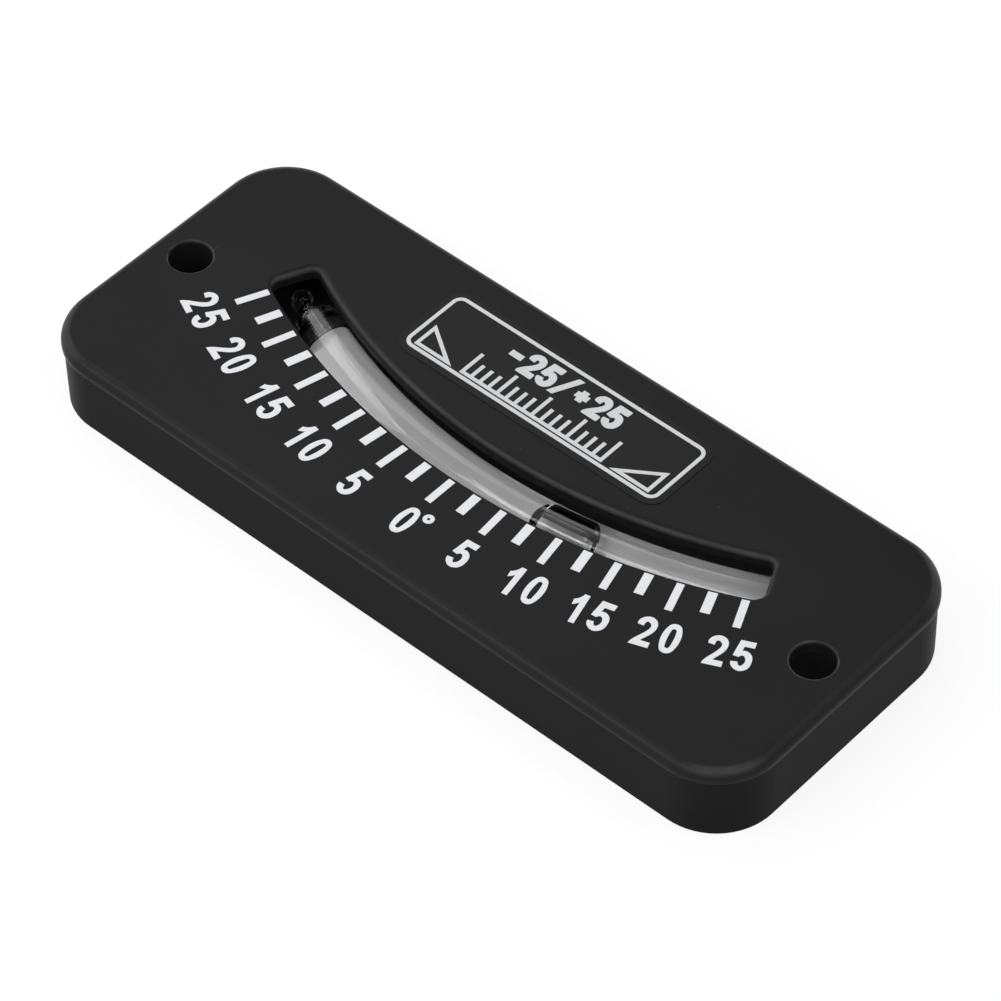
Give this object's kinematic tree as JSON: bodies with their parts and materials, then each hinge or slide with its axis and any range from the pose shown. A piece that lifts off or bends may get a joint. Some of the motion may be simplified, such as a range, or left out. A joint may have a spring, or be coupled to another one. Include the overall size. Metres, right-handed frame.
{
  "type": "inclinometer",
  "caption": "Flat black two-hole inclinometer: a bent sealed glass vial with a ball and a bubble behind a curved slot, with a printed degree scale.",
  "frame": {"origin": "middle of the flat back, where the object lies or is screwed on", "axes": "+X along the housing, to the right as the figures are read; +Y up the face as the figures are read; +Z out of the face"},
  "size_m": [0.12, 0.048, 0.0121],
  "materials": {
    "black_cover": "satin, finely textured, with dust and light scuffs",
    "black_case": "matte, finely textured",
    "vial_glass": "clear, polished",
    "damping_fluid": "clear liquid",
    "bubble": "gas",
    "ball": "gloss",
    "white_backing": "satin white",
    "adhesive": "matte",
    "scale_print": "printed ink, off-white",
    "label_film": "thin satin film",
    "label_print": "printed ink, light grey"
  },
  "bodies": {
    "housing": {"front_cover": "black_cover", "rear_case": "black_case", "vial_tube": "vial_glass", "damping_fluid": "damping_fluid", "vial_backing": "white_backing", "vial_adhesive": "adhesive", "scale_long_ticks": "scale_print", "scale_short_ticks": "scale_print", "numeral_25_left": "scale_print", "numeral_20_left": "scale_print", "numeral_15_left": "scale_print", "numeral_10_left": "scale_print", "numeral_5_left": "scale_print", "numeral_0": "scale_print", "numeral_5_right": "scale_print", "numeral_10_right": "scale_print", "numeral_15_right": "scale_print", "numeral_20_right": "scale_print", "numeral_25_right": "scale_print", "degree_mark": "scale_print", "label_film": "label_film", "label_frame": "label_print", "label_range": "label_print", "label_ruler": "label_print", "label_wedges": "label_print"},
    "ball": {"indicator_ball": "ball"},
    "bubble": {"air_bubble": "bubble"}
  },
  "joints": [
    {"name": "ball_roll", "type": "hinge", "parent": "housing", "child": "ball", "pos_m": [0, 0.0906, 0.00614], "axis": [0, 0, 1], "range_deg": [-50.1, 0], "deforming": ["damping_fluid", "air_bubble"]},
    {"name": "bubble_drift", "type": "hinge", "parent": "housing", "child": "bubble", "pos_m": [0, 0.0906, 0.00614], "axis": [0, 0, 1], "range_deg": [-25.6, 15.1], "deforming": ["damping_fluid"]}
  ]
}
